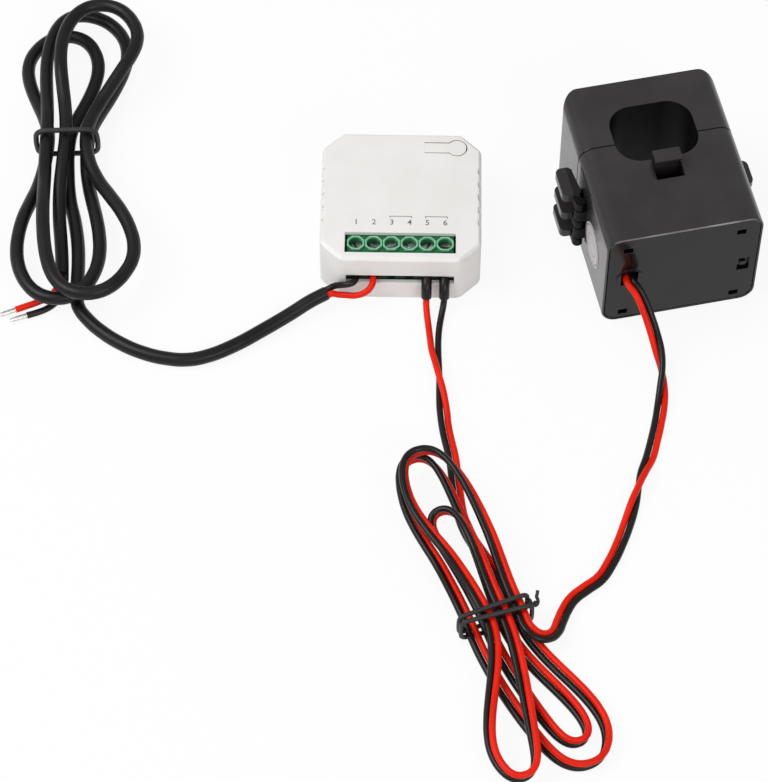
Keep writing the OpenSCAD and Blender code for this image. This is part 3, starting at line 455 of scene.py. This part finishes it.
solder_mask, shader, place = new_finish("solder_mask")
cloth = place.node("TexWave", {"bands_direction": "DIAGONAL"},
                   {"Vector": place, "Scale": 700.0, "Distortion": 1.5})
blotch = cloud(place, 260.0, 3.0)
feed(shader, Base_Color=between(spread(blotch, 0.45, 0.6, 0.0, 1.0), (0.020, 0.13, 0.055, 1),
                                (0.030, 0.19, 0.080, 1)),
     Roughness=spread(blotch, 0.3, 0.7, 0.25, 0.4), Normal=raised(cloth, 0.3, 0.00003))
plated_steel = metal("plated_steel", (0.56, 0.57, 0.58, 1), (0.74, 0.74, 0.75, 1), 0.28, 1800.0)
dress(solder_mask, "main_pcb", "clamp_board", "wireless_module")
dress(plated_steel, "rf_shield")
dress(plastic("chip_body", (0.018, 0.018, 0.02, 1), (0.03, 0.03, 0.032, 1), 0.55, 3000.0, 0.00003),
      "metering_chip", "tact_switch")
dress(plastic("coil_tape", (0.60, 0.38, 0.04, 1), (0.70, 0.46, 0.06, 1), 0.35, 800.0, 0.00004),
      "power_transformer", "x_capacitor")
dress(plastic("can_sleeve", (0.014, 0.030, 0.075, 1), (0.022, 0.042, 0.095, 1), 0.3, 1500.0, 0.00002),
      "electrolytic_capacitor")
dress(plastic("dipped_blue", (0.025, 0.14, 0.40, 1), (0.04, 0.19, 0.48, 1), 0.4, 900.0, 0.00005),
      "varistor")
dress(plastic("resistor_lacquer", (0.42, 0.24, 0.10, 1), (0.50, 0.30, 0.14, 1), 0.45, 1500.0, 0.00004),
      "fuse_resistor")


# Terminal block. Six ways moulded in green nylon, with an octagonal rim round each screw well. The
# rims are painted paler, a painted highlight for the light that the thin edges catch and let through,
# and the green below a height of 11 mm is painted darker as painted shade.
def shade_flat_parts(mesh):
    """Normals that keep flat parts flat and bend the light only over rounded edges."""
    alike, main_share = 0.82, 0.6  # cosine between normals that join, and share of the largest area
    planes = [(round(f.normal.x, 3), round(f.normal.y, 3), round(f.normal.z, 3),
               round(f.normal.dot(f.center) * 1e5)) for f in mesh.polygons]
    area = {}
    for face, plane in zip(mesh.polygons, planes):
        area[plane] = area.get(plane, 0.0) + face.area
    around = [[] for v in mesh.vertices]
    for face, plane in zip(mesh.polygons, planes):
        for v in face.vertices:
            around[v].append((area[plane], face.normal.copy()))
    normals = []
    for face in mesh.polygons:
        for v in face.vertices:
            near = [(a, n) for a, n in around[v] if n.dot(face.normal) > alike]
            most = max((a for a, n in near), default=0.0)
            total = sum((n for a, n in near if a > main_share * most), Vector())
            normals.append(total.normalized() if total.length > 0 else face.normal)
    mesh.normals_split_custom_set(normals)


def softened(name, body, finish, width, keep, segments=2):
    """A copy of a CAD solid with edges rounded once or twice as far, as keep says, in its place."""
    sharp_turn = 0.5  # radians
    form = bmesh.new()
    form.from_mesh(nodes[name].data)
    bmesh.ops.remove_doubles(form, verts=form.verts, dist=2e-6)
    for times in (2, 1):
        sharp = [e for e in form.edges if len(e.link_faces) == 2 and e.calc_face_angle() > sharp_turn
                 and keep((e.verts[0].co + e.verts[1].co) * 500) == times]
        bmesh.ops.bevel(form, geom=sharp, offset=width * times * 0.001, offset_type="OFFSET",
                        affect="EDGES", segments=segments + times - 1, profile=0.5, material=-1,
                        loop_slide=False, clamp_overlap=False)
    for face in form.faces:
        face.smooth = True
        face.material_index = 0
    mesh = bpy.data.meshes.new(name + "_form")
    form.to_mesh(mesh)
    form.free()
    shade_flat_parts(mesh)
    mesh.materials.append(finish)
    piece = add_piece(name + "_form", mesh, body)
    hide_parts(name)
    return piece


green_nylon, shader, place = new_finish("green_nylon", Specular_IOR_Level=0.3)
height = place.node("SeparateXYZ", {}, {"Vector": place}, 2)
blotch, fine = cloud(place, 400.0, 3.0), cloud(place, 2400.0, 3.0)
# painted shade: below a height of 11 mm the green turns darker
painted_shade_green = (0.004, 0.022, 0.011, 1)
body_green = between(blotch, (0.012, 0.120, 0.042, 1), (0.020, 0.180, 0.068, 1))
body_green = between(spread(height, 0.0110, 0.0120, 0.0, 1.0), painted_shade_green, body_green)
# painted highlight: the rims above a height of 16.4 mm are painted paler, for light caught and let
# through by their thin edges
painted_rim_light = between(blotch, (0.16, 0.46, 0.27, 1), (0.24, 0.58, 0.36, 1))
painted_rim_light_part = spread(height, 0.01640, 0.01690, 0.0, 1.0)
feed(shader, Base_Color=between(painted_rim_light_part, body_green, painted_rim_light),
     Roughness=spread(blotch, 0.3, 0.7, 0.34, 0.46), Normal=raised(fine, 0.4, 0.00003))
softened("terminal_block", "monitor", green_nylon, 0.12,
         lambda p: p.z > 15.5 or p.y < -21.4)
dress(metal("stamped_brass", (0.55, 0.36, 0.13, 1), (0.66, 0.45, 0.18, 1), 0.3, 1500.0),
      "terminal_contacts")
dress(tinned, "wire_pins")


# Clamp cages and terminal screws. Each plated screw draws a steel cage up against its contact and
# holds the wire. The heads are slotted and lie deep in the wells.
screw_steel = metal("screw_steel", (0.09, 0.09, 0.085, 1), (0.74, 0.74, 0.72, 1), 0.2, 800.0, 0.00025)
for i in range(1, 7):
    dress(plated_steel, f"clamp_cage_{i}")
    softened(f"terminal_screw_{i}", f"screw_{i}", screw_steel, 0.1, lambda p: p.z > 12)


# Housing. White ABS in one piece, with cut corners, a row of vents on each side, a window for the
# terminals, a slot for the wires and a slit that frees the button.
def outside(p):
    """Edges of the housing that show, but not those of the slit, slot ends and inner corners."""
    slit = 6 < p.x < 19.3 and 14.3 < p.y < 21.3
    slot_end = 15 < abs(p.x) < 16.2 and p.y < -21 and 6.5 < p.z < 10.8
    reach = max(abs(p.x), abs(p.y), (abs(p.x) + abs(p.y) - 40) / sqrt(2) + 23)
    inner = reach < 22.6 and p.z < 17.3
    return not (slit or slot_end or inner)


softened("top_cover", "monitor", white_shell, 0.3, outside, segments=3)


# Pairing button. The tongue and pad are cut free from the top by a thin slit and bend down onto a
# small switch on the circuit board.
softened("pairing_button", "button", white_shell, 0.06, lambda p: p.z > 17.5)
dress(plastic("plunger_plastic", (0.66, 0.62, 0.55, 1), (0.74, 0.70, 0.63, 1), 0.45, 1800.0, 0.00003),
      "switch_plunger")


# Printing. Plain grey terminal numbers and two thin lines over the pairs three-four and five-six,
# printed on the top in a thin film of ink.
way_apart, number_y, line_y = 0.00508, -0.0097, -0.0075
film, line_wide = 0.00002, 0.00022
ink_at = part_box("top_cover")[1][2] + 0.000006
print_grey = plastic("print_grey", (0.13, 0.13, 0.135, 1), (0.20, 0.20, 0.205, 1), 0.6, 3000.0, 0.00002)
for i in range(1, 7):
    figure = bpy.data.curves.new(f"number_{i}", "FONT")
    figure.body = str(i)
    figure.size = 0.0026
    figure.offset = 0.00003
    figure.align_x, figure.align_y = "CENTER", "CENTER"
    figure.extrude = film / 2
    figure.resolution_u = 4
    mesh = as_mesh(figure)
    form = bmesh.new()
    form.from_mesh(mesh)
    bmesh.ops.remove_doubles(form, verts=form.verts, dist=1e-7)
    form.to_mesh(mesh)
    form.free()
    mesh.transform(Matrix.Translation(((i - 3.5) * way_apart, number_y, ink_at)))
    mesh.materials.clear()
    mesh.materials.append(print_grey)
    add_piece(f"number_{i}", mesh, "monitor")
# middle, width and depth of a line and of its two short ends
strokes = [(0.0, line_y, 0.0064, line_wide)]
strokes += [(x, line_y - 0.0003, line_wide, 0.0006) for x in (-0.0031, 0.0031)]
lines = bmesh.new()
for pair_x in (0.0, 2 * way_apart):
    for x, y, wide, deep in strokes:
        bmesh.ops.create_cube(lines, size=1.0, matrix=Matrix.Translation((pair_x + x, y, ink_at))
                              @ Matrix.Diagonal((wide, deep, film, 1)))
mesh = bpy.data.meshes.new("number_lines")
lines.to_mesh(mesh)
lines.free()
mesh.materials.append(print_grey)
add_piece("number_lines", mesh, "monitor")


# Core of the clamp. A split core of stacked steel, a pale former and a winding of enamelled copper
# wire sit inside the case, with a small circuit board behind the end cap.
stack, shader, place = new_finish("stacked_steel", Metallic=0.9)
sheets = place.node("TexWave", {"bands_direction": "Z"},
                    {"Vector": place, "Scale": 320.0, "Distortion": 0.3})
fine = cloud(place, 1400.0, 4.0)
feed(shader, Base_Color=between(fine, (0.14, 0.14, 0.15, 1), (0.26, 0.26, 0.27, 1)),
     Roughness=spread(fine, 0.3, 0.7, 0.32, 0.5), Normal=raised(sheets, 0.4, 0.00006))
dress(stack, "lower_core", "upper_core")
copper, shader, place = new_finish("enamelled_copper", Metallic=0.85)
turns = place.node("TexWave", {"bands_direction": "X"},
                   {"Vector": place, "Scale": 500.0, "Distortion": 0.6})
feed(shader, Base_Color=between(turns, (0.30, 0.10, 0.03, 1), (0.52, 0.22, 0.07, 1)),
     Roughness=spread(turns, 0.0, 1.0, 0.28, 0.4), Normal=raised(turns, 0.6, 0.0001))
dress(copper, "secondary_winding")
dress(plastic("former_nylon", (0.62, 0.58, 0.48, 1), (0.70, 0.66, 0.56, 1), 0.45, 1500.0, 0.00003),
      "bobbin")


# Clamp case, end cap and jaw. Black satin plastic with a fine drawn grain. The case is a rounded box
# with ribs for the hinge and a hook over the opening. A glossier cap closes its front end, and the
# jaw turns on a steel pin.
clamp_yaw = radians(-13)
clamp_turn = Matrix.Rotation(clamp_yaw, 3, "Z")
clamp_place = Vector((79.5, -25.7, 0))


def shell_finish(name, specular):
    """Satin black with a drawn grain, a painted highlight along the top front edge and a
    strip of painted shade, darker and duller, beside the latch's pin.
    """
    made, shader, place = new_finish(name, Specular_IOR_Level=specular)
    turned = place.node("Mapping", {}, {"Vector": place, "Rotation": (0.0, 0.0, clamp_yaw),
                                        "Scale": (160.0, 2600.0, 700.0)})
    drawn, broad = cloud(turned, 1.0, 3.0), cloud(place, 70.0, 4.0)
    own = place.node("Mapping", {}, {"Vector": place, "Rotation": (0.0, 0.0, clamp_yaw),
                                     "Location": -(clamp_turn @ (clamp_place * 0.001))})
    own_x, own_y, own_z = (own.node("SeparateXYZ", {}, {"Vector": own}, i) for i in range(3))
    # painted highlight: a pale line along the top front edge of the case, broken up by blotches
    painted_edge_highlight = spread(own_y, 0.00016, 0.00034, 1.0, 0.0) * spread(own_z, 0.0358, 0.0367, 0.0, 1.0)
    painted_edge_highlight = painted_edge_highlight * spread(broad, 0.38, 0.55, 0.45, 1.0)
    # painted shade: a strip beside the latch's pin is made darker and duller
    painted_recess_shade = spread(own_x, -0.0257, -0.0255, 0.0, 1.0) * spread(own_x, -0.02256, -0.02253, 1.0, 0.0)
    skin = between(spread(broad, 0.35, 0.65, 0.0, 1.0), (0.0228, 0.0200, 0.0212, 1),
                   (0.0308, 0.0273, 0.0288, 1))
    skin = between(painted_recess_shade * 0.75, skin, (0.004, 0.0036, 0.004, 1))
    gloss = spread(drawn * 0.5 + broad * 0.5, 0.3, 0.7, 0.17, 0.29)
    feed(shader, Base_Color=between(painted_edge_highlight, skin, (0.32, 0.315, 0.31, 1)),
         Roughness=gloss + painted_recess_shade * 0.3, Normal=raised(drawn, 0.13, 0.00005))
    return made


def on_clamp(p):
    """A point of the scene in the clamp's own millimetres."""
    return clamp_turn @ (p - clamp_place)


def walled_in(p, far_end):
    """Whether a point lies inside the clamp's walls, up to a place along it."""
    q = on_clamp(p)
    return abs(q.x) < 21.3 and 1.3 < q.z < 35.7 and q.y < far_end


def case_edge(p):
    """Edges of the case that show, with those of its front end twice as round."""
    return not walled_in(p, 33) and (2 if on_clamp(p).y < 0.2 else 1)


black_shell = shell_finish("black_shell", 0.5)
black_cap = plastic("black_cap", (0.0042, 0.0028, 0.0032, 1), (0.0062, 0.0045, 0.0050, 1), 0.14, 700.0,
                    0.000006, Specular_IOR_Level=0.27)
case = softened("clamp_case", "monitor", black_shell, 0.22, case_edge)
softened("clamp_end_cap", "monitor", black_cap, 0.15, lambda p: on_clamp(p).y < 0.6)
jaw = softened("clamp_jaw", "jaw", black_shell, 0.22, lambda p: not walled_in(p, 55))
dress(plated_steel, "hinge_pin", "latch_pin")


# Latch. A ribbed lever of the same plastic turns on a pin beside the case and hooks into the jaw. The
# knuckles round its pin and the sides of the clamp's opening are given painted shade: a dull near-black
# finish where shadow falls.
latch_black = shell_finish("latch_black", 0.3)
# painted shade: a dull near-black for the knuckles round the latch's pin and the sides of the clamp's
# opening
painted_shade_black = plastic("painted_shade_black", (0.003, 0.0027, 0.003, 1), (0.006, 0.0055, 0.006, 1), 0.5, 900.0,
                      0.00004, Specular_IOR_Level=0.12)
latch = softened("latch_clip", "latch", latch_black, 0.25,
                 lambda p: on_clamp(p).x < -23.5)
for piece in (case, jaw, latch):
    piece.data.materials.append(painted_shade_black)
    for face in piece.data.polygons:
        q = on_clamp(face.center * 1000)
        opening = abs(q.x) < 12.1 and 26.4 < q.y < 46.4 and q.z < 36.7
        knuckle = q.x < -22.6 and 19 < q.y < 24.6
        face.material_index = int(opening or knuckle)


# Sticker. A round grey paper label is glued to the side of the case, beside the latch. It carries
# two plain printed rings and no words.
label_low, label_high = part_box("case_label")
label_at = (Vector(label_low) + Vector(label_high)) / 2


def printed_ring(away, inner, outer):
    """A ring of ink between two radii, with slightly soft edges."""
    soft = 0.00005
    return (spread(away, inner - soft, inner + soft, 0.0, 1.0)
            * spread(away, outer - soft, outer + soft, 1.0, 0.0))


label, shader, place = new_finish("label_paper")
fibre = cloud(place, 1800.0, 5.0)
away = place.node("VectorMath", {"operation": "DISTANCE"}, {0: place, 1: label_at}, 1)
rings = printed_ring(away, 0.0058, 0.0063) + printed_ring(away, 0.0034, 0.0037)
paper_tone = between(fibre, (0.46, 0.445, 0.435, 1), (0.58, 0.56, 0.55, 1))
feed(shader, Base_Color=between(rings, paper_tone, (0.22, 0.215, 0.21, 1)),
     Roughness=spread(fibre, 0.3, 0.7, 0.45, 0.6), Normal=raised(fibre, 0.3, 0.00003))
dress(label, "case_label")


# Floor and light. A plain white floor that keeps a faint shadow, a large soft light on the left
# above, two weaker ones in front, and an even white surround.
def rays_of(tree, *kinds):
    """One for rays of these kinds, and nought for the others."""
    path = tree.nodes.new("ShaderNodeLightPath")
    found = [Shade(tree, path.outputs[f"Is {kind} Ray"]) for kind in kinds]
    return sum(found[1:], found[0])


form = bmesh.new()
bmesh.ops.create_grid(form, x_segments=1, y_segments=1, size=3.0,
                      matrix=Matrix.Translation((0, 0, -0.0001)))
mesh = bpy.data.meshes.new("floor")
form.to_mesh(mesh)
form.free()
ground, paper = new_finish("floor_white", Base_Color=(0.86, 0.86, 0.86, 1), Roughness=0.9)[:2]
tree = ground.node_tree
seen = rays_of(tree, "Camera", "Glossy", "Transmission")
glow = seen.node("Emission", {}, {"Color": (1, 1, 1, 1), "Strength": 1.0})
mixed = seen.node("MixShader", {}, {0: seen * 0.9, 1: Shade(tree, paper.outputs["BSDF"]), 2: glow})
tree.links.new(mixed.socket, tree.nodes["Material Output"].inputs["Surface"])
mesh.materials.append(ground)
floor = bpy.data.objects.new("floor", mesh)
bpy.context.collection.objects.link(floor)

world = bpy.data.worlds.new("surround")
bpy.context.scene.world = world
world.use_nodes = True
tree = world.node_tree
back = tree.nodes["Background"]
back.inputs["Color"].default_value = (1, 1, 1, 1)
back.inputs["Strength"].default_value = 0.5
seen = rays_of(tree, "Camera", "Transmission")
white = seen.node("Background", {}, {"Color": (1, 1, 1, 1), "Strength": 1.0})
mixed = seen.node("MixShader", {}, {0: seen, 1: Shade(tree, back.outputs["Background"]), 2: white})
tree.links.new(mixed.socket, tree.nodes["World Output"].inputs["Surface"])

for name, stand, size, power in (("key_light", (-0.62, -0.08, 0.88), 0.7, 6.6),
                                 ("fill_light", (0.1, -0.95, 0.66), 0.7, 1.2),
                                 ("front_light", (0.5, -0.8, 0.68), 0.3, 1.9)):
    lamp = bpy.data.lights.new(name, "AREA")
    lamp.shape = "SQUARE"
    lamp.size = size
    lamp.energy = power
    light = bpy.data.objects.new(name, lamp)
    light.location = stand
    light.rotation_euler = (-Vector(stand)).to_track_quat("-Z", "Y").to_euler()
    bpy.context.collection.objects.link(light)
